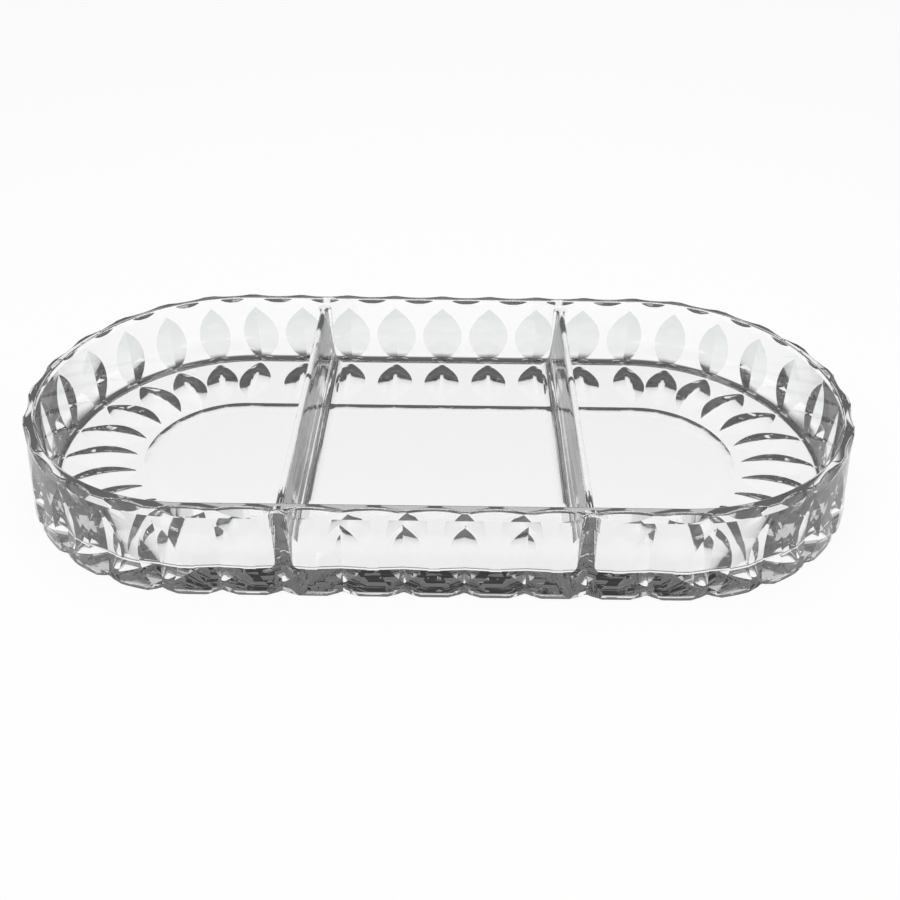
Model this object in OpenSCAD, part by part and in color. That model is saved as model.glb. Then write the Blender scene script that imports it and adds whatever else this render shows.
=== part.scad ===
// Oval three-part pressed glass relish tray with leaf cuts round the wall.
// Millimetres, +Z up. It stands on Z = 0, centred on the Z axis, with its long side along X.
// The one pressing is drawn as four regions that meet face to face.

/* [Tray] */
// Length of the rim, end to end
tray_length = 300; // [280:1:330]
// Width of the rim, side to side
tray_width = 140; // [130:1:150]
// Height of the rim above the table
tray_height = 34; // [32:1:38]

/* [Wall] */
// Width of the flat top of the rim
rim_width = 3.6; // [3.2:0.1:4.2]
// Height of the plain band below the rim
rim_band = 3.6; // [3.4:0.1:4]
// How far the foot of the wall stands out beyond the rim
foot_flare = 4; // [3:0.1:4.4]
// Bevel round the bottom edge of the wall
foot_bevel = 0.5; // [0.3:0.1:0.8]
// How far the inner face leans in on its way down to the cove
inner_draft = 2; // [1.8:0.1:2.4]

/* [Floor] */
// Thickness of the glass in the floor
floor_thickness = 5; // [4.6:0.1:6]
// Radius of the cove between floor and wall
cove_radius = 2.5; // [2:0.1:4]
// Height of the hollow under the middle of the floor
hollow_depth = 0.8; // [0.5:0.1:1]

/* [Leaves] */
// Leaf spaces along each straight side
side_leaves = 8; // [8:2:8]
// Leaf spaces round each end, with a leaf at its back seam and a gap at its front seam
end_leaves = 11.5; // [11.5:1:11.5]
// Length of a wall leaf
leaf_length = 29; // [27:0.5:29.5]
// Width of a wall leaf as a share of the leaf pitch at the ends
leaf_width_share = 0.88; // [0.75:0.01:0.9]
// Depth of the V cut of a wall leaf
leaf_depth = 1.5; // [1.1:0.1:1.7]
// Height of the middle of the wall leaves above the table
leaf_height = 14.2; // [13.8:0.1:14.8]

/* [Petals] */
// Length of a petal under the floor
petal_length = 28; // [24:0.5:29]
// Width of a petal on the straight sides
petal_side_width = 14.6; // [12:0.1:15.6]
// Width of a petal round the ends
petal_end_width = 13; // [10:0.1:13.2]
// Depth of the V cut of a petal
petal_depth = 3; // [2.4:0.1:3]
// Radius of the round bottom of that V
petal_round = 3; // [2:0.1:4]

/* [Notches] */
// Height of the notch under each leaf in the bottom edge of the wall
notch_height = 2.2; // [1.5:0.1:2.6]
// Half width of the notch at the bottom edge
notch_half_width = 5.5; // [4:0.1:6]
// Depth of the hollow cut in the rim's outer edge between two leaves
rim_cut_depth = 1.3; // [1:0.1:1.5]
// Height of that cut as a share of the plain band
rim_cut_height_share = 0.93; // [0.8:0.01:0.95]
// Length of that cut as a share of the leaf pitch
rim_cut_share = 0.95; // [0.85:0.01:0.97]

/* [Dividers] */
// Distance of each divider from the middle, in leaf spaces
divider_spaces = 2.5; // [2.5:1:2.5]
// Height of the top of the dividers above the table
divider_height = 31; // [28:0.5:31]
// Width of the top edge of a divider
divider_top = 2.6; // [2.2:0.1:3.2]
// Width of a divider's web where its foot begins
divider_web = 6; // [5:0.1:7]
// Radius of the coves along both sides of a divider
divider_cove = 5; // [4:0.1:6]
// Radius of the flare where a divider runs into the wall
divider_flare = 2; // [1.5:0.1:5]

/* [Hidden] */

fine = 96;
overrun = 1;
skim = 0.3;
end_radius = tray_width / 2;
side_length = tray_length - tray_width;
leaf_pitch = side_length / side_leaves;
leaf_angle = 180 / end_leaves;
end_pitch = end_radius * PI / end_leaves;

// The line where the floor region ends and the wall region begins, inside the rim's edge
seam_width = 0.8;
inner_foot = rim_width + inner_draft;
seam = inner_foot - seam_width;
cove_lip = 0.3;
cove_top = floor_thickness + cove_lip + cove_radius;
rim_chamfer = 0.4;

// How far the wall stands out at the height of the leaves
lean = atan(foot_flare / (tray_height - rim_band - foot_bevel));
leaf_stand = foot_flare - (leaf_height - foot_bevel) * tan(lean);

// Radius of the wheel whose edge cuts a groove of this length and depth
function wheel_radius(length, depth) = (length * length / 4 + depth * depth) / (2 * depth);

leaf_wheel = wheel_radius(leaf_length, leaf_depth);
leaf_width = end_pitch * leaf_width_share;
notch_margin = 0.4;
petal_gap = 0.6;
petal_start = seam + petal_gap;
petal_middle = petal_start + petal_length / 2;
hollow_margin = 3;
hollow_edge = petal_start + petal_length + hollow_margin;
hollow_ramp = 2;
rim_cut_height = rim_band * rim_cut_height_share;
rim_cut_length = leaf_pitch * rim_cut_share;
rim_wheel = wheel_radius(rim_cut_length, rim_cut_depth);

// Places of the leaves in leaf spaces, counted from the middle of each side and from the back seam of each end
half_side = side_leaves / 2;
back_places = [1 - half_side : half_side - 1];
front_places = [0.5 - half_side : half_side - 0.5];
end_places = [0 : end_leaves - 0.5];
divider_x = divider_spaces * leaf_pitch;
top_chamfer = 0.5;
divider_foot = divider_web / 2 + divider_cove;
web_start = floor_thickness + cove_lip + divider_cove;

// A ring or plate with straight sides and round ends, from a profile drawn at end_radius
module racetrack()
{
    for (side = [0, 180])
        rotate([0, 0, side])
        {
            translate([side_length / 2, 0, 0])
                rotate([0, 0, -90])
                    rotate_extrude(angle = 180, $fn = fine) children();
            rotate([90, 0, 90])
                translate([0, 0, -side_length / 2])
                    linear_extrude(side_length) children();
        }
}

// Puts a cutter drawn at the rim, pointing along +X, at places round both ends from the back to the front
module round_the_ends(places)
{
    for (side = [-1, 1])
        translate([side * side_length / 2, 0, 0])
            for (i = places)
                rotate([0, 0, 90 - side * i * leaf_angle])
                    translate([end_radius, 0, 0]) children();
}

// Puts a cutter drawn at the rim, pointing along +X, at places along the back and the front
module along_the_sides(back, front)
{
    for (i = back)
        translate([i * leaf_pitch, end_radius, 0]) rotate([0, 0, 90]) children();
    for (i = front)
        translate([i * leaf_pitch, -end_radius, 0]) rotate([0, 0, -90]) children();
}

// The space inside the tray, as a profile out to the wall and up to a height
module hollow_profile(top)
{
    reach = end_radius - inner_foot;
    slope = inner_draft / (tray_height - cove_top);
    rise = top - cove_top;
    translate([0, cove_top]) polygon([[0, 0], [reach, 0], [reach + slope * rise, rise], [0, rise]]);
    translate([0, floor_thickness]) square([reach - cove_radius, cove_top - floor_thickness]);
    intersection()
    {
        translate([reach - cove_radius, cove_top]) circle(cove_radius, $fn = fine);
        translate([0, floor_thickness]) square([reach, cove_top - floor_thickness]);
    }
}

module wall_profile()
{
    rim_inside = end_radius - rim_width;
    difference()
    {
        polygon([
            [end_radius - inner_foot - cove_radius, 0],
            [end_radius + foot_flare - foot_bevel, 0],
            [end_radius + foot_flare, foot_bevel],
            [end_radius, tray_height - rim_band],
            [end_radius, tray_height - rim_chamfer],
            [end_radius - rim_chamfer, tray_height],
            [end_radius - inner_foot - cove_radius, tray_height]
        ]);
        hollow_profile(tray_height + overrun);
        square([end_radius - seam, floor_thickness]);
        polygon([
            [rim_inside - overrun, tray_height - rim_chamfer - overrun],
            [rim_inside + rim_chamfer + overrun, tray_height + overrun],
            [rim_inside - overrun, tray_height + overrun]
        ]);
    }
}

// The working part of a cutting wheel: its edge profile, swept along the groove's length
module wheel_edge(radius, length)
{
    half = asin((length / 2 + overrun) / radius);
    rotate([90, 0, 0])
        rotate([0, 0, -half])
            rotate_extrude(angle = 2 * half, $fn = fine) children();
}

// A sharp V edge that cuts a pointed leaf into the wall
module leaf_cutter()
{
    depth = leaf_depth + skim;
    half = leaf_width / 2 * depth / leaf_depth;
    translate([leaf_stand, 0, leaf_height])
        rotate([0, -lean, 0])
            translate([leaf_wheel - leaf_depth, 0, 0])
                rotate([0, 180, 0])
                    wheel_edge(leaf_wheel, leaf_length)
                        translate([leaf_wheel, 0]) polygon([[0, 0], [-depth, half], [-depth, -half]]);
}

// A V edge with a round tip that cuts a petal into the underside
module petal_cutter(width)
{
    wheel = wheel_radius(petal_length, petal_depth);
    slope = asin(petal_round / norm([width / 2, petal_round - petal_depth]))
        - atan2(petal_round - petal_depth, width / 2);
    band = petal_depth + skim;
    half_band = (petal_round / cos(slope) + band - petal_round) / tan(slope);
    tip = [wheel - petal_round + petal_round * cos(slope), petal_round * sin(slope)];
    translate([-petal_middle, 0, petal_depth - wheel])
        rotate([0, -90, 0])
            wheel_edge(wheel, petal_length)
            {
                intersection()
                {
                    translate([wheel - petal_round, 0]) circle(petal_round, $fn = fine);
                    translate([tip.x, -petal_round]) square([petal_round, 2 * petal_round]);
                }
                polygon([tip, [wheel - band, half_band], [wheel - band, -half_band], [tip.x, -tip.y]]);
            }
}

// A V groove that rises across the foot from near the seam to the bottom edge of the wall
module notch_cutter()
{
    run = seam - notch_margin + foot_flare;
    translate([notch_margin - seam, 0, 0])
        rotate([0, 90 - atan(notch_height / run), 0])
            linear_extrude(run + 2 * notch_height)
                polygon([
                    [0, 0],
                    [2 * notch_height, -2 * notch_half_width],
                    [2 * notch_height, 2 * notch_half_width]
                ]);
}

// A round wheel that hollows the outer edge of the rim between two leaves
module rim_cutter()
{
    half = asin((rim_cut_length / 2 + overrun) / rim_wheel);
    tilt = atan(rim_cut_depth / rim_cut_height);
    translate([-rim_cut_depth, 0, tray_height])
        rotate([0, -tilt, 0])
            translate([rim_wheel, 0, 0])
                rotate([0, 0, 180 - half])
                    rotate_extrude(angle = 2 * half, $fn = fine)
                        translate([rim_wheel - rim_cut_depth - overrun, -rim_cut_height - overrun])
                            square([rim_cut_depth + overrun, rim_cut_height + 2 * overrun]);
}

module floor_profile()
{
    difference()
    {
        square([end_radius - seam, floor_thickness]);
        translate([0, -overrun])
            polygon([
                [0, 0],
                [end_radius - hollow_edge + hollow_ramp * overrun / hollow_depth, 0],
                [end_radius - hollow_edge - hollow_ramp, overrun + hollow_depth],
                [0, overrun + hollow_depth]
            ]);
    }
}

// The petals round the ends crowd together towards the middle, so every second one is cut first
module floor()
{
    color("lightcyan")
        difference()
        {
            difference()
            {
                racetrack() floor_profile();
                round_the_ends([0 : 2 : end_leaves]) petal_cutter(petal_end_width);
                along_the_sides(back_places, front_places) petal_cutter(petal_side_width);
            }
            round_the_ends([1 : 2 : end_leaves]) petal_cutter(petal_end_width);
        }
}

module wall()
{
    color("lightblue")
        difference()
        {
            racetrack() wall_profile();
            round_the_ends(end_places) leaf_cutter();
            along_the_sides(back_places, front_places) leaf_cutter();
            round_the_ends(end_places) notch_cutter();
            along_the_sides(back_places, front_places) notch_cutter();
            round_the_ends([0.5 : end_leaves]) rim_cutter();
            along_the_sides([0.5 - half_side : half_side - 0.5], [1 - half_side : half_side - 1]) rim_cutter();
        }
}

module divider()
{
    reach = end_radius - rim_width;
    intersection()
    {
        union()
        {
            rotate([90, 0, 0])
                linear_extrude(2 * reach, center = true) divider_profile();
            for (side = [0, 180])
                rotate([0, 0, side])
                    linear_extrude(divider_height - top_chamfer) flare_profile();
        }
        rotate([90, 0, 90])
            linear_extrude(4 * divider_foot, center = true)
            {
                hollow_profile(divider_height + overrun);
                mirror([1, 0]) hollow_profile(divider_height + overrun);
            }
    }
}

module divider_profile()
{
    polygon([
        [-divider_web / 2, web_start],
        [divider_web / 2, web_start],
        [divider_top / 2, divider_height - top_chamfer],
        [divider_top / 2 - top_chamfer, divider_height],
        [top_chamfer - divider_top / 2, divider_height],
        [-divider_top / 2, divider_height - top_chamfer]
    ]);
    difference()
    {
        translate([-divider_foot, floor_thickness])
            square([2 * divider_foot, cove_lip + divider_cove]);
        for (side = [-1, 1])
            translate([side * divider_foot, web_start]) circle(divider_cove, $fn = fine);
    }
}

module flare_profile()
{
    wide = divider_top / 2 + divider_flare;
    start = end_radius - inner_foot - divider_flare;
    difference()
    {
        translate([-wide, start]) square([2 * wide, inner_foot + divider_flare]);
        for (side = [-1, 1])
            translate([side * wide, start]) circle(divider_flare, $fn = fine);
    }
}

module left_divider()
{
    color("powderblue") translate([-divider_x, 0, 0]) divider();
}

module right_divider()
{
    color("powderblue") translate([divider_x, 0, 0]) divider();
}

floor();
wall();
left_divider();
right_divider();
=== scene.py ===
"""Oval three-part relish tray in pressed glass, the table it stands on, the light and the camera."""

import math

import bmesh
import bpy
import numpy as np
from mathutils import Matrix, Vector


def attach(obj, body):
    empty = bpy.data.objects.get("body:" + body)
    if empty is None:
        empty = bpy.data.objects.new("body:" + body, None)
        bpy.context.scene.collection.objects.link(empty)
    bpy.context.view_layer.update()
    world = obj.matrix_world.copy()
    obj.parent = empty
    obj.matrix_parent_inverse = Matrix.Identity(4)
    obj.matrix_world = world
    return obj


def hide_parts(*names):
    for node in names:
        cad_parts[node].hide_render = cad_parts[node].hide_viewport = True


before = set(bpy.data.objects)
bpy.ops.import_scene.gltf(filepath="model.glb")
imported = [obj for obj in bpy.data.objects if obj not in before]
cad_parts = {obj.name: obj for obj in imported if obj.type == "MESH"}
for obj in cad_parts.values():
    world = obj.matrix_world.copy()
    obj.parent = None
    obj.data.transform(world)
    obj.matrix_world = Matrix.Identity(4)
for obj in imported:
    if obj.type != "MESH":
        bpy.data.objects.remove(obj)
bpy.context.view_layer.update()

# Sizes of the tray in millimetres, as in the part's source
LENGTH = 300.0
WIDTH = 140.0
HEIGHT = 34.0
RIM_WIDTH = 3.6
RIM_BAND = 3.6
FOOT_FLARE = 4.0
FOOT_BEVEL = 0.5
INNER_DRAFT = 2.0
FLOOR = 5.0
COVE_RADIUS = 2.5
COVE_LIP = 0.3
SEAM_WIDTH = 0.8
HOLLOW_DEPTH = 0.8
HOLLOW_MARGIN = 3.0
SIDE_LEAVES = 8
END_LEAVES = 11.5
LEAF_LENGTH = 29.0
LEAF_WIDTH_SHARE = 0.88
LEAF_DEPTH = 1.5
LEAF_HEIGHT = 14.2
PETAL_LENGTH = 28.0
PETAL_SIDE_WIDTH = 14.6
PETAL_END_WIDTH = 13.0
PETAL_DEPTH = 3.0
PETAL_ROUND = 3.0
PETAL_GAP = 0.6
NOTCH_HEIGHT = 2.2
NOTCH_HALF_WIDTH = 5.5
NOTCH_MARGIN = 0.4
RIM_CUT_DEPTH = 1.3
RIM_CUT_HEIGHT_SHARE = 0.93
RIM_CUT_SHARE = 0.95
DIVIDER_SPACES = 2.5
DIVIDER_HEIGHT = 31.0
DIVIDER_TOP = 2.6
DIVIDER_WEB = 6.0
DIVIDER_COVE = 5.0
DIVIDER_FLARE = 2.0

# Roundings that the part's source leaves to this script, in millimetres
RIM_ROUND = 0.6
HOLLOW_REACH = 5.4

# How the surfaces meet, in millimetres, radians and degrees
NOTCH_FADE = 4.0
BAND_GAP = 0.6
LEAST_WIDTH = 0.02
FLAT_RING = 6.0
ABOVE_RIM = 3.0
DIVIDER_SINK = 0.15
DIVIDER_ROOT = 2.0
DIVIDER_END_MARGIN = 1.0
DIVIDER_COVE_START = 0.25
FLARE_END = 1.35
FLARE_POWER = 6
BEVEL_ANGLES = (0.6, 1.1, math.pi / 2)
SHARP_DEGREES = 6

# Faces across half a leaf, the plain part beside it and half a rim cut
IN_LEAF = 10
BETWEEN = 3
IN_CUT = 5

# Rows of points in each stretch of the outside, the hollow and the dividers
DISH_ROWS = 12
PETAL_ROWS = 49
FOOT_ROWS = 8
CORNER_ROWS = 7
WALL_ROWS = 54
BAND_ROWS = 9
RIM_ROWS = 6
COVE_ROWS = 15
INNER_ROWS = 12
EDGE_ROWS = 5
DIVIDER_COVE_ROWS = 11
DIVIDER_ROWS = 6
FLARE_ROWS = 12

# Steps round each end of the hollow, and halvings in the search for a cut's edge
END_STEPS = 96
HALVINGS = 40

MM = 0.001
END_RADIUS = WIDTH / 2
SIDE_LENGTH = LENGTH - WIDTH
LEAF_PITCH = SIDE_LENGTH / SIDE_LEAVES
LEAF_ANGLE = math.pi / END_LEAVES
LEAF_WIDTH = END_RADIUS * LEAF_ANGLE * LEAF_WIDTH_SHARE
INNER_FOOT = RIM_WIDTH + INNER_DRAFT
SEAM = INNER_FOOT - SEAM_WIDTH
COVE_TOP = FLOOR + COVE_LIP + COVE_RADIUS
LEAN = math.atan(FOOT_FLARE / (HEIGHT - RIM_BAND - FOOT_BEVEL))
LEAF_TOP = HEIGHT - RIM_BAND - BAND_GAP
PETAL_START = SEAM + PETAL_GAP
PETAL_MIDDLE = PETAL_START + PETAL_LENGTH / 2
HOLLOW_EDGE = PETAL_START + PETAL_LENGTH + HOLLOW_MARGIN
RIM_CUT_HEIGHT = RIM_BAND * RIM_CUT_HEIGHT_SHARE
DIVIDER_X = DIVIDER_SPACES * LEAF_PITCH


def wheel_radius(length, depth):
    """Radius of the wheel whose edge cuts a groove of this length and depth."""
    return (length * length / 4 + depth * depth) / (2 * depth)


def quarter_turn(rows, start=0.0):
    """Angles from start to a right angle, one for each row."""
    return np.linspace(start, math.pi / 2, rows)


# A reach is a distance from the axis of an end or, along the sides, from the tray's middle line
def wall_reach(z):
    """Reach of the plain outer face at a height."""
    return END_RADIUS + np.clip((HEIGHT - RIM_BAND - z) * math.tan(LEAN), 0, FOOT_FLARE)


def plain_face(reach, y, curved):
    """Outward position of a flat side or round end, sideways from the leaf's middle."""
    return np.sqrt(np.maximum(reach**2 - y**2, 0)) if curved else reach + 0 * y


def leaf_face(y, z):
    """Outward position of the V cut of a wall leaf."""
    wheel = wheel_radius(LEAF_LENGTH, LEAF_DEPTH)
    axis_x = wall_reach(LEAF_HEIGHT) + math.cos(LEAN) * (wheel - LEAF_DEPTH)
    axis_z = LEAF_HEIGHT + math.sin(LEAN) * (wheel - LEAF_DEPTH)
    edge = wheel - np.abs(y) * LEAF_DEPTH / (LEAF_WIDTH / 2)
    return axis_x - np.sqrt(np.maximum(edge**2 - (z - axis_z) ** 2, 0))


def notch_height(x, y):
    """Height of the V groove that rises across the foot under a leaf."""
    run = (x - END_RADIUS + SEAM - NOTCH_MARGIN) / (SEAM - NOTCH_MARGIN + FOOT_FLARE)
    return NOTCH_HEIGHT * run - np.abs(y) * NOTCH_HEIGHT / NOTCH_HALF_WIDTH


def rim_face(y, z):
    """Outward position of the round cut in the rim's outer edge, sideways from its own middle."""
    wheel = wheel_radius(LEAF_PITCH * RIM_CUT_SHARE, RIM_CUT_DEPTH)
    tilt = math.atan(RIM_CUT_DEPTH / RIM_CUT_HEIGHT)
    sag = (wheel - np.sqrt(wheel**2 - y**2)) / math.cos(tilt)
    return END_RADIUS - RIM_CUT_DEPTH + sag + (HEIGHT - z) * math.tan(tilt)


def petal_height(x, y, on_side):
    """Height of the rounded V cut of a petal, at x from the end's axis and y from its middle line."""
    half = (PETAL_SIDE_WIDTH if on_side else PETAL_END_WIDTH) / 2
    beyond = PETAL_ROUND - PETAL_DEPTH
    slope = math.asin(PETAL_ROUND / math.hypot(half, beyond)) - math.atan2(beyond, half)
    wheel = wheel_radius(PETAL_LENGTH, PETAL_DEPTH)
    beside = np.abs(y)
    round_part = np.sqrt(np.maximum(PETAL_ROUND**2 - beside**2, 0))
    straight = PETAL_ROUND / math.cos(slope) - beside * math.tan(slope)
    in_round = beside < PETAL_ROUND * math.sin(slope)
    edge = wheel - PETAL_ROUND + np.where(in_round, round_part, straight)
    along = x - (END_RADIUS - PETAL_MIDDLE)
    return PETAL_DEPTH - wheel + np.sqrt(np.maximum(edge**2 - along**2, 0))


def edge_of(gap, limit):
    """Largest y below limit at which gap(y) is still positive."""
    low = 0.0
    high = limit
    for _ in range(HALVINGS):
        middle = (low + high) / 2
        if gap(middle) > 0:
            low = middle
        else:
            high = middle
    return low


def half_row(kind, reach, z, curved, on_side):
    """Positions (outward, sideways, up) across half a leaf space, from the leaf's middle to the gap's."""

    def face(y):
        return plain_face(reach, y, curved)

    half = reach * LEAF_ANGLE / 2 if curved else LEAF_PITCH / 2
    limit = reach * math.sin(LEAF_ANGLE / 2) if curved else half
    ease = END_RADIUS - reach
    leaf = LEAST_WIDTH
    rim_cut = LEAST_WIDTH
    if kind == "petal":
        leaf = max(leaf, edge_of(lambda y: petal_height(face(y), y, on_side), limit))
    if kind in ("foot", "corner"):
        leaf = max(leaf, edge_of(lambda y: notch_height(face(y), y), limit))
    if kind in ("corner", "wall"):
        leaf = max(leaf, edge_of(lambda y: face(y) - leaf_face(y, z), limit))
    if kind in ("band", "top"):
        rim_cut = max(rim_cut, edge_of(lambda y: face(y) - rim_face(y, z) + ease, limit))
    if curved:
        leaf = math.asin(leaf / reach) * reach
        rim_cut = math.asin(rim_cut / reach) * reach

    in_leaf = np.linspace(0, leaf, IN_LEAF + 1)
    between = np.linspace(leaf, half - rim_cut, BETWEEN + 1)
    in_cut = np.linspace(half - rim_cut, half, IN_CUT + 1)
    ways = np.concatenate([in_leaf, between[1:], in_cut[1:]])
    y = reach * np.sin(ways / reach) if curved else ways
    x = face(y)
    heights = np.full_like(y, z)
    place = np.arange(len(y))
    if kind == "petal":
        heights = np.where(place <= IN_LEAF, np.maximum(petal_height(x, y, on_side), 0), 0.0)
    if kind in ("foot", "corner"):
        rise = np.where(place <= IN_LEAF, np.maximum(notch_height(x, y), 0), 0.0)
        heights = rise + z * (1 - rise / NOTCH_FADE)
    if kind in ("corner", "wall"):
        x = np.where(place <= IN_LEAF, np.minimum(x, leaf_face(y, heights)), x)
    if kind in ("band", "top"):
        turn = LEAF_ANGLE / 2 if curved else 0.0
        away = 0.0 if curved else half
        turned_x = x * math.cos(turn) + y * math.sin(turn)
        turned_y = y * math.cos(turn) - x * math.sin(turn) - away
        cut_x = np.minimum(turned_x, rim_face(turned_y, z) - ease)
        turned_x = np.where(place >= IN_LEAF + BETWEEN, cut_x, turned_x)
        turned_y = turned_y + away
        x = turned_x * math.cos(turn) - turned_y * math.sin(turn)
        y = turned_x * math.sin(turn) + turned_y * math.cos(turn)
    return np.stack([x, y, heights], 1)


def outside_rows():
    """Kind, reach and height of every row, from the middle of the underside round to the rim's top."""
    dish = wheel_radius(2 * HOLLOW_REACH, HOLLOW_DEPTH)
    dish_edge = END_RADIUS - HOLLOW_EDGE
    rows = [("plain", dish_edge - HOLLOW_REACH - FLAT_RING, HOLLOW_DEPTH)]
    for share in np.linspace(1, 0, DISH_ROWS):
        z = HOLLOW_DEPTH - dish + math.sqrt(dish**2 - (HOLLOW_REACH * (1 - share)) ** 2)
        rows.append(("plain", dish_edge - share * HOLLOW_REACH, z))
    petal_end = END_RADIUS - PETAL_START
    petal_tip = petal_end - PETAL_LENGTH
    for share in 0.5 - 0.5 * np.cos(np.linspace(0, math.pi, PETAL_ROWS)):
        rows.append(("petal", petal_tip + share * (petal_end - petal_tip), 0.0))
    foot = END_RADIUS + FOOT_FLARE
    for reach in np.linspace(END_RADIUS - SEAM, foot - FOOT_BEVEL, FOOT_ROWS):
        rows.append(("foot", reach, 0.0))
    for angle in BEVEL_ANGLES:
        reach = foot - FOOT_BEVEL * (1 - math.sin(angle))
        rows.append(("corner", reach, FOOT_BEVEL * (1 - math.cos(angle))))
    corner = np.linspace(FOOT_BEVEL, NOTCH_FADE, CORNER_ROWS)[1:]
    wall = np.linspace(NOTCH_FADE, LEAF_TOP, WALL_ROWS)[1:]
    band = np.linspace(HEIGHT - RIM_BAND, HEIGHT - RIM_ROUND, BAND_ROWS)
    for kind, heights in (("corner", corner), ("wall", wall), ("band", band)):
        rows += [(kind, wall_reach(z), z) for z in heights]
    for angle in quarter_turn(RIM_ROWS)[1:]:
        reach = END_RADIUS - RIM_ROUND * (1 - math.cos(angle))
        rows.append(("top", reach, HEIGHT - RIM_ROUND * (1 - math.sin(angle))))
    return [(kind, float(reach), float(z)) for kind, reach, z in rows]


def half_space(curved, on_side):
    """All rows of half a leaf space."""
    return np.array([half_row(*row, curved, on_side) for row in outside_rows()])


def outside():
    """The half leaf spaces placed anticlockwise round the tray, as rows of (x, y, z)."""
    side = half_space(curved=False, on_side=True)
    seam = half_space(curved=False, on_side=False)
    end = half_space(curved=True, on_side=False)
    columns = []

    def add(points, start_x, angle, second):
        """Adds half a leaf space that faces along angle, mirrored if it is a leaf's first half."""
        points = points if second else points[:, ::-1] * (1, -1, 1)
        x = start_x + points[..., 0] * math.cos(angle) - points[..., 1] * math.sin(angle)
        y = points[..., 0] * math.sin(angle) + points[..., 1] * math.cos(angle)
        columns.append(np.stack([x, y, points[..., 2]], -1)[:, :-1])

    back = math.pi / 2
    half_length = SIDE_LENGTH / 2
    leaves = int(END_LEAVES + 0.5)
    for leaf in reversed(range(leaves)):
        add(end, half_length, back - leaf * LEAF_ANGLE, False)
        if leaf > 0:
            add(end, half_length, back - leaf * LEAF_ANGLE, True)
    add(seam, half_length, back, True)
    for leaf in range(1, SIDE_LEAVES):
        add(side, half_length - leaf * LEAF_PITCH, back, False)
        add(side, half_length - leaf * LEAF_PITCH, back, True)
    add(seam, -half_length, back, False)
    for leaf in range(leaves):
        if leaf > 0:
            add(end, -half_length, back + leaf * LEAF_ANGLE, False)
        add(end, -half_length, back + leaf * LEAF_ANGLE, True)
    for leaf in range(SIDE_LEAVES):
        add(side, (leaf + 0.5) * LEAF_PITCH - half_length, -back, False)
        add(side, (leaf + 0.5) * LEAF_PITCH - half_length, -back, True)
    return np.concatenate(columns, 1)


def grid_mesh(name, grid):
    """A closed mesh from rows of points that each run round, with a flat face at each end."""
    rows, columns = grid.shape[:2]
    index = np.arange(rows * columns).reshape(rows, columns)
    beside = np.roll(index, -1, axis=1)
    faces = np.stack([index[:-1], beside[:-1], beside[1:], index[1:]], -1).reshape(-1, 4).tolist()
    faces.append(index[0][::-1].tolist())
    faces.append(index[-1].tolist())
    mesh = bpy.data.meshes.new(name)
    mesh.from_pydata((grid.reshape(-1, 3) * MM).tolist(), [], faces)
    mesh.validate()
    solid = bmesh.new()
    solid.from_mesh(mesh)
    bmesh.ops.recalc_face_normals(solid, faces=solid.faces)
    if solid.calc_volume(signed=True) < 0:
        bmesh.ops.reverse_faces(solid, faces=solid.faces)
    solid.to_mesh(mesh)
    solid.free()
    shape = bpy.data.objects.new(name, mesh)
    bpy.context.scene.collection.objects.link(shape)
    return shape


def racetrack(reach):
    """Points (x, y) of the tray's oval at a reach, anticlockwise."""
    points = []
    for side in (1, -1):
        for angle in np.linspace(-math.pi / 2, math.pi / 2, END_STEPS + 1):
            x = SIDE_LENGTH / 2 + reach * math.cos(angle)
            points.append((side * x, side * reach * math.sin(angle)))
    return points


def hollow():
    """The space inside the tray, up through the rim."""
    foot = END_RADIUS - INNER_FOOT
    rows = [(foot - COVE_RADIUS - FLAT_RING, FLOOR)]
    for angle in quarter_turn(COVE_ROWS):
        reach = foot - COVE_RADIUS + COVE_RADIUS * math.sin(angle)
        rows.append((reach, COVE_TOP - COVE_LIP - COVE_RADIUS * math.cos(angle)))
    slope = INNER_DRAFT / (HEIGHT - COVE_TOP)
    for z in np.linspace(COVE_TOP, HEIGHT - RIM_ROUND, INNER_ROWS)[1:]:
        rows.append((foot + slope * (z - COVE_TOP), z))
    top = rows[-1][0]
    for angle in quarter_turn(EDGE_ROWS)[1:]:
        reach = top + RIM_ROUND - RIM_ROUND * math.cos(angle)
        rows.append((reach, HEIGHT - RIM_ROUND + RIM_ROUND * math.sin(angle)))
    rows.append((top + RIM_ROUND, HEIGHT + ABOVE_RIM))
    return grid_mesh("hollow", np.array([[(x, y, z) for x, y in racetrack(reach)] for reach, z in rows]))


def divider_section():
    """Points (x, z) of the divider's section, up its right side and down its left."""
    web = DIVIDER_WEB / 2
    top = DIVIDER_TOP / 2
    web_start = FLOOR - DIVIDER_SINK + DIVIDER_COVE
    web_end = DIVIDER_HEIGHT - top
    right = []
    for angle in quarter_turn(DIVIDER_COVE_ROWS, DIVIDER_COVE_START):
        x = web + DIVIDER_COVE - DIVIDER_COVE * math.sin(angle)
        right.append((x, web_start - DIVIDER_COVE * math.cos(angle)))
    right.insert(0, (right[0][0], DIVIDER_ROOT))
    widths = np.linspace(web, top, DIVIDER_ROWS)
    heights = np.linspace(web_start, web_end, DIVIDER_ROWS)
    right += list(zip(widths, heights))[1:]
    for angle in quarter_turn(DIVIDER_ROWS)[1:]:
        right.append((top * math.cos(angle), web_end + top * math.sin(angle)))
    right = np.array(right)
    return np.concatenate([right, (right * (-1, 1))[::-1][1:]])


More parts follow.
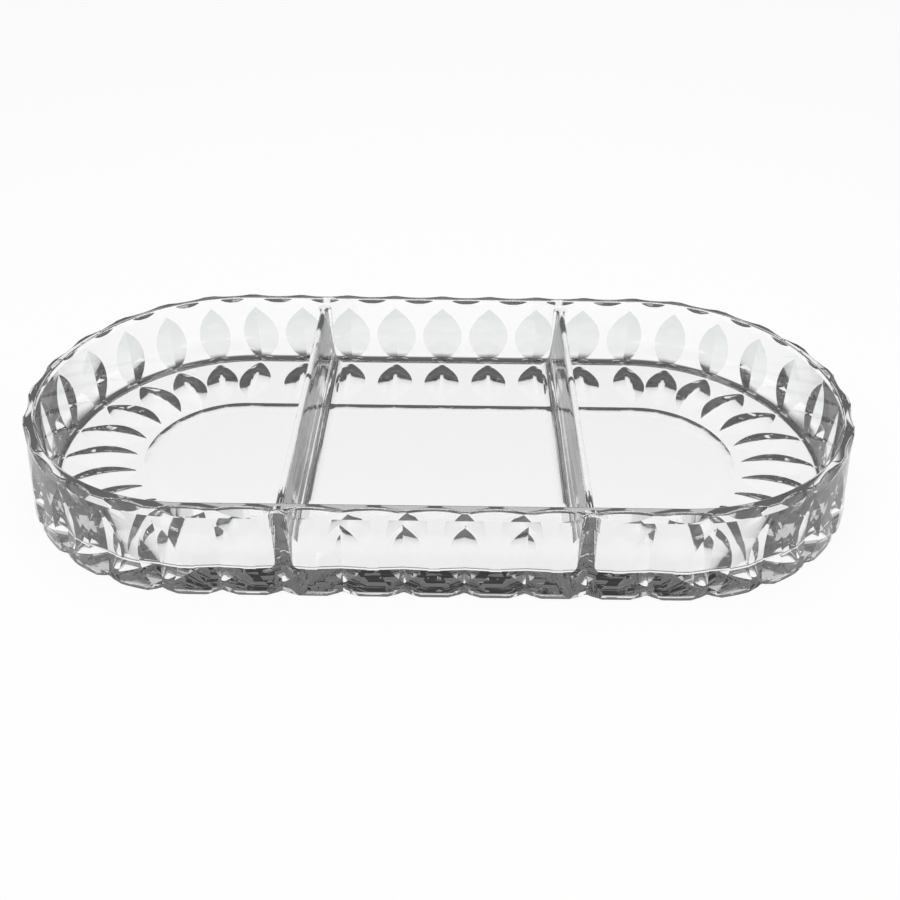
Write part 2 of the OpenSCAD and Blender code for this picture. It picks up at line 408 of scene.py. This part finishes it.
def divider(sign):
    """One cross divider, with coves along its foot and a flare at each wall."""
    flat = END_RADIUS - INNER_FOOT - DIVIDER_FLARE
    places = [0.0, flat / 2, flat]
    for angle in np.linspace(0, FLARE_END, FLARE_ROWS)[1:]:
        places.append(flat + DIVIDER_FLARE * math.sin(angle))
    places.append(END_RADIUS - DIVIDER_END_MARGIN)
    section = divider_section()
    top = DIVIDER_TOP / 2
    grid = []
    for y in [-place for place in places[::-1]] + places[1:]:
        over = min(max(abs(y) - flat, 0), DIVIDER_FLARE * math.sin(FLARE_END))
        flare = top + DIVIDER_FLARE - math.sqrt(DIVIDER_FLARE**2 - over**2)
        spread = flare**FLARE_POWER - top**FLARE_POWER
        line = []
        for x, z in section:
            power = abs(x) ** FLARE_POWER + spread * min(abs(x) / top, 1) ** FLARE_POWER
            line.append((sign * DIVIDER_X + math.copysign(power ** (1 / FLARE_POWER), x), y, z))
        grid.append(line)
    return grid_mesh("divider", np.array(grid))


def cut(target, tool):
    """Takes the tool's form out of the target's mesh and removes the tool."""
    modifier = target.modifiers.new("cut", "BOOLEAN")
    modifier.operation = "DIFFERENCE"
    modifier.solver = "EXACT"
    modifier.object = tool
    bpy.context.view_layer.update()
    evaluated = target.evaluated_get(bpy.context.evaluated_depsgraph_get())
    mesh = bpy.data.meshes.new_from_object(evaluated)
    target.modifiers.clear()
    target.data = mesh
    bpy.data.objects.remove(tool)


tray = grid_mesh("glass_tray", outside())
void = hollow()
for sign in (-1, 1):
    cut(void, divider(sign))
cut(tray, void)
tray.data.name = "glass_tray"
for polygon in tray.data.polygons:
    polygon.use_smooth = True
tray.data.set_sharp_from_angle(angle=math.radians(SHARP_DEGREES))

# Clear glass, and painted shade on the leaf cuts seen from inside the glass: a grey-green tint that paints
# in the shade the leaves show, with some green of the longer path through glass, growing between two
# heights in millimetres
GLASS_COLOUR = (0.99, 0.995, 0.99, 1)
GLASS_IOR = 1.52
LEAF_SHADE_COLOUR = (0.6, 0.65, 0.62, 1)
LEAF_SHADE_START = 6.0
LEAF_SHADE_END = 28.0
LEAF_SHADE_LEAST = 0.3

# The waviness of the pressed surface, in millimetres, and the streaks of the dividers
RIPPLE_SCALE = 60.0
RIPPLE_HEIGHT = 1.0
RIPPLE_STRENGTH = 0.02
STREAK_STRETCH = (8, 0.2, 4)
STREAK_STRENGTH = 0.25

# Where a face counts as one of a leaf or a divider, in millimetres from the plain wall and floor
LEAF_LEAST_DEPTH = 0.03
WEB_LEAST_HEIGHT = 0.5


def math_node(tree, operation, first, second=0):
    """A math node on one or two values, each a socket or a number."""
    node = tree.nodes.new("ShaderNodeMath")
    node.operation = operation
    for socket, value in zip(node.inputs, (first, second)):
        if isinstance(value, (int, float)):
            socket.default_value = value
        else:
            tree.links.new(value, socket)
    return node.outputs[0]


def soft_step(tree, value, start, end, low=0.0, high=1.0):
    """A smooth change from low at start to high at end."""
    node = tree.nodes.new("ShaderNodeMapRange")
    node.interpolation_type = "SMOOTHSTEP"
    tree.links.new(value, node.inputs["Value"])
    for name, number in (("From Min", start), ("From Max", end), ("To Min", low), ("To Max", high)):
        node.inputs[name].default_value = number
    return node.outputs["Result"]


def object_place(tree):
    """A socket with the place on the object, in metres."""
    return tree.nodes.new("ShaderNodeTexCoord").outputs["Object"]


def glass_material(name, stretch=(1, 1, 1), strength=RIPPLE_STRENGTH):
    """Clear glass with a bump of noise that runs finer or longer along each axis."""
    glass = bpy.data.materials.new(name)
    glass.use_nodes = True
    tree = glass.node_tree
    shader = tree.nodes["Principled BSDF"]
    shader.inputs["Base Color"].default_value = GLASS_COLOUR
    shader.inputs["Roughness"].default_value = 0.0
    shader.inputs["IOR"].default_value = GLASS_IOR
    shader.inputs["Transmission Weight"].default_value = 1.0
    mapping = tree.nodes.new("ShaderNodeMapping")
    mapping.inputs["Scale"].default_value = stretch
    ripple = tree.nodes.new("ShaderNodeTexNoise")
    ripple.inputs["Scale"].default_value = RIPPLE_SCALE
    bump = tree.nodes.new("ShaderNodeBump")
    bump.inputs["Strength"].default_value = strength
    bump.inputs["Distance"].default_value = RIPPLE_HEIGHT * MM
    tree.links.new(object_place(tree), mapping.inputs["Vector"])
    tree.links.new(mapping.outputs["Vector"], ripple.inputs["Vector"])
    tree.links.new(ripple.outputs["Fac"], bump.inputs["Height"])
    tree.links.new(bump.outputs["Normal"], shader.inputs["Normal"])
    return glass


def leaf_shade_material():
    """The clear glass with painted shade: a grey-green tint where a leaf is seen from inside the glass,
    darker towards the rim.
    """
    glass = glass_material("leaf_glass_painted_shade")
    tree = glass.node_tree
    parts = tree.nodes.new("ShaderNodeSeparateXYZ")
    tree.links.new(object_place(tree), parts.inputs[0])
    # Painted shade: the leaf faces are greyed only where seen from inside the glass, more towards the rim
    rise = soft_step(tree, parts.outputs["Z"], LEAF_SHADE_START * MM, LEAF_SHADE_END * MM, LEAF_SHADE_LEAST)
    geometry = tree.nodes.new("ShaderNodeNewGeometry")
    share = math_node(tree, "MULTIPLY", rise, geometry.outputs["Backfacing"])
    shade_mix = tree.nodes.new("ShaderNodeMix")
    shade_mix.data_type = "RGBA"
    shade_mix.inputs["A"].default_value = GLASS_COLOUR
    shade_mix.inputs["B"].default_value = LEAF_SHADE_COLOUR
    tree.links.new(share, shade_mix.inputs["Factor"])
    tree.links.new(shade_mix.outputs["Result"], tree.nodes["Principled BSDF"].inputs["Base Color"])
    return glass


def glass_kinds(mesh):
    """1 for the polygons in the leaf cuts of the outside, 2 for those of the dividers, 0 for the rest."""
    middle = np.empty(len(mesh.polygons) * 3)
    mesh.polygons.foreach_get("center", middle)
    middle = middle.reshape(-1, 3) / MM
    normal = np.empty(len(mesh.polygons) * 3)
    mesh.polygons.foreach_get("normal", normal)
    normal = normal.reshape(-1, 3)
    outward = middle[:, :2].copy()
    outward[:, 0] = np.sign(outward[:, 0]) * np.maximum(np.abs(outward[:, 0]) - SIDE_LENGTH / 2, 0)
    reach = np.linalg.norm(outward, axis=1)
    z = middle[:, 2]
    leaves = (outward * normal[:, :2]).sum(1) > 0
    leaves &= (z > FOOT_BEVEL) & (z < LEAF_TOP)
    leaves &= (reach < wall_reach(z) - LEAF_LEAST_DEPTH) & (reach > END_RADIUS - LEAF_DEPTH)
    from_divider = np.abs(np.abs(middle[:, 0]) - DIVIDER_X)
    webs = from_divider < DIVIDER_WEB / 2 + DIVIDER_COVE
    webs &= (z > FLOOR + WEB_LEAST_HEIGHT) & (reach < END_RADIUS - RIM_WIDTH)
    return (leaves + 2 * webs).astype(np.int32)


tray.data.materials.clear()
tray.data.materials.append(glass_material("clear_glass"))
tray.data.materials.append(leaf_shade_material())
tray.data.materials.append(glass_material("drawn_glass", STREAK_STRETCH, STREAK_STRENGTH))
tray.data.polygons.foreach_set("material_index", glass_kinds(tray.data))
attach(tray, "root")
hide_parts("floor", "wall", "left_divider", "right_divider")

# The table top, in metres
TABLE_HALF = 3.0
TABLE_DROP = 0.0002

# Its paper, and the share of plain white in what the camera and mirrored rays see of it
PAPER_COLOUR = (0.9, 0.9, 0.9, 1)
PAPER_ROUGHNESS = 0.9
WHITE_SHARE = 0.93

# The shade of the foot, in millimetres beyond its edges
SHADE_START = 1.0
SHADE_END = 4.0

# How strongly the paper is dimmed by that shade and by reflections inside the glass
SHADE_STRENGTH = 0.87
TRAPPED_START = 0.7
TRAPPED_END = 3.2
TRAPPED_SHARE = 0.95


def foot_shade(tree):
    """1 on the paper under the foot, 0 elsewhere."""
    parts = tree.nodes.new("ShaderNodeSeparateXYZ")
    tree.links.new(object_place(tree), parts.inputs[0])
    from_middle = math_node(tree, "ABSOLUTE", parts.outputs["X"])
    past_side = math_node(tree, "SUBTRACT", from_middle, SIDE_LENGTH / 2 * MM)
    along = math_node(tree, "MAXIMUM", past_side, 0)
    along_square = math_node(tree, "MULTIPLY", along, along)
    across_square = math_node(tree, "MULTIPLY", parts.outputs["Y"], parts.outputs["Y"])
    reach = math_node(tree, "SQRT", math_node(tree, "ADD", along_square, across_square))
    inner = END_RADIUS - SEAM
    outer = END_RADIUS + FOOT_FLARE
    past_inner = soft_step(tree, reach, (inner + SHADE_START) * MM, (inner + SHADE_END) * MM)
    past_outer = soft_step(tree, reach, (outer + SHADE_START) * MM, (outer + SHADE_END) * MM)
    return math_node(tree, "MULTIPLY", past_inner, math_node(tree, "SUBTRACT", 1, past_outer))


def paper_material():
    """White paper that keeps some shadow, dimmed where glass shows it by reflections inside the glass."""
    paper = bpy.data.materials.new("white_paper")
    paper.use_nodes = True
    tree = paper.node_tree
    shader = tree.nodes["Principled BSDF"]
    shader.inputs["Base Color"].default_value = PAPER_COLOUR
    shader.inputs["Roughness"].default_value = PAPER_ROUGHNESS
    path = tree.nodes.new("ShaderNodeLightPath")
    through_glass = path.outputs["Is Transmission Ray"]
    depth = soft_step(tree, path.outputs["Glossy Depth"], TRAPPED_START, TRAPPED_END)
    trapped = math_node(tree, "MULTIPLY", depth, TRAPPED_SHARE)
    dim = math_node(tree, "MAXIMUM", foot_shade(tree), trapped)
    dim = math_node(tree, "MULTIPLY", dim, through_glass)
    dim = math_node(tree, "MULTIPLY", dim, SHADE_STRENGTH)
    white = tree.nodes.new("ShaderNodeEmission")
    tree.links.new(math_node(tree, "SUBTRACT", 1, dim), white.inputs["Strength"])
    seen = math_node(tree, "MAXIMUM", path.outputs["Is Camera Ray"], path.outputs["Is Glossy Ray"])
    share = math_node(tree, "MULTIPLY", seen, WHITE_SHARE)
    share = math_node(tree, "MAXIMUM", share, through_glass)
    mix = tree.nodes.new("ShaderNodeMixShader")
    tree.links.new(share, mix.inputs[0])
    tree.links.new(shader.outputs[0], mix.inputs[1])
    tree.links.new(white.outputs[0], mix.inputs[2])
    tree.links.new(mix.outputs[0], tree.nodes["Material Output"].inputs["Surface"])
    return paper


table = bpy.data.meshes.new("table")
corners = [(x * TABLE_HALF, y * TABLE_HALF, 0) for x, y in ((-1, -1), (1, -1), (1, 1), (-1, 1))]
table.from_pydata(corners, [], [(0, 1, 2, 3)])
table.materials.append(paper_material())
table_top = bpy.data.objects.new("table_top", table)
table_top.location.z = -TABLE_DROP
bpy.context.scene.collection.objects.link(table_top)

# The world: white where the camera looks past the table, and a dim room to all other rays
ROOM_COLOUR = (0.12, 0.12, 0.12, 1)
BACKDROP_COLOUR = (1, 1, 1, 1)
world = bpy.data.worlds.new("studio")
world.use_nodes = True
bpy.context.scene.world = world
world_tree = world.node_tree
room = world_tree.nodes["Background"]
room.inputs["Color"].default_value = ROOM_COLOUR
backdrop = world_tree.nodes.new("ShaderNodeBackground")
backdrop.inputs["Color"].default_value = BACKDROP_COLOUR
world_path = world_tree.nodes.new("ShaderNodeLightPath")
world_mix = world_tree.nodes.new("ShaderNodeMixShader")
world_tree.links.new(world_path.outputs["Is Camera Ray"], world_mix.inputs[0])
world_tree.links.new(room.outputs[0], world_mix.inputs[1])
world_tree.links.new(backdrop.outputs[0], world_mix.inputs[2])
world_tree.links.new(world_mix.outputs[0], world_tree.nodes["World Output"].inputs["Surface"])

# Three soft lamps, in metres and watts, hidden from what is seen through the glass
LAMP_PLACES = ((-0.5, -0.45), (0.5, -0.45), (0.0, 0.2))
LAMP_HEIGHT = 0.8
LAMP_SIZE = 0.5
LAMP_POWER = 3.3
for x, y in LAMP_PLACES:
    light = bpy.data.lights.new("softbox", "AREA")
    light.size = LAMP_SIZE
    light.energy = LAMP_POWER
    lamp = bpy.data.objects.new("softbox", light)
    lamp.location = (x, y, LAMP_HEIGHT)
    lamp.rotation_euler = (Vector() - lamp.location).to_track_quat("-Z", "Y").to_euler()
    lamp.visible_transmission = False
    bpy.context.scene.collection.objects.link(lamp)

# The camera as fitted to the photograph: place in leaf pitches, angles in radians, lens in pixels
EYE_PLACE = Vector((0.347, -15.2727, 11.9258))
EYE_TURN = -0.0088
EYE_TILT = 0.6524
EYE_ROLL = 0.007
FOCAL_PIXELS = 994.36
FRAME_PIXELS = 900
SENSOR_WIDTH = 36.0
FARTHEST = 20.0
camera = bpy.data.cameras.new("camera")
camera.sensor_width = SENSOR_WIDTH
camera.lens = FOCAL_PIXELS / FRAME_PIXELS * SENSOR_WIDTH
camera.clip_end = FARTHEST
forward = Vector(
    (
        math.sin(EYE_TURN) * math.cos(EYE_TILT),
        math.cos(EYE_TURN) * math.cos(EYE_TILT),
        -math.sin(EYE_TILT),
    )
)
across = Vector((math.cos(EYE_TURN), -math.sin(EYE_TURN), 0))
up = across.cross(forward)
right = math.cos(EYE_ROLL) * across + math.sin(EYE_ROLL) * up
top = math.cos(EYE_ROLL) * up - math.sin(EYE_ROLL) * across
turn = Matrix((right, top, -forward)).transposed()
eye = bpy.data.objects.new("camera", camera)
eye.matrix_world = Matrix.Translation(EYE_PLACE * (LEAF_PITCH * MM)) @ turn.to_4x4()
bpy.context.scene.collection.objects.link(eye)
bpy.context.scene.camera = eye

# Enough bounces for light that is reflected inside the glass
TRANSMISSION_BOUNCES = 24
GLOSSY_BOUNCES = 16
scene = bpy.context.scene
scene.view_settings.view_transform = "Standard"
scene.cycles.max_bounces = TRANSMISSION_BOUNCES
scene.cycles.transmission_bounces = TRANSMISSION_BOUNCES
scene.cycles.glossy_bounces = GLOSSY_BOUNCES
scene.cycles.use_denoising = True
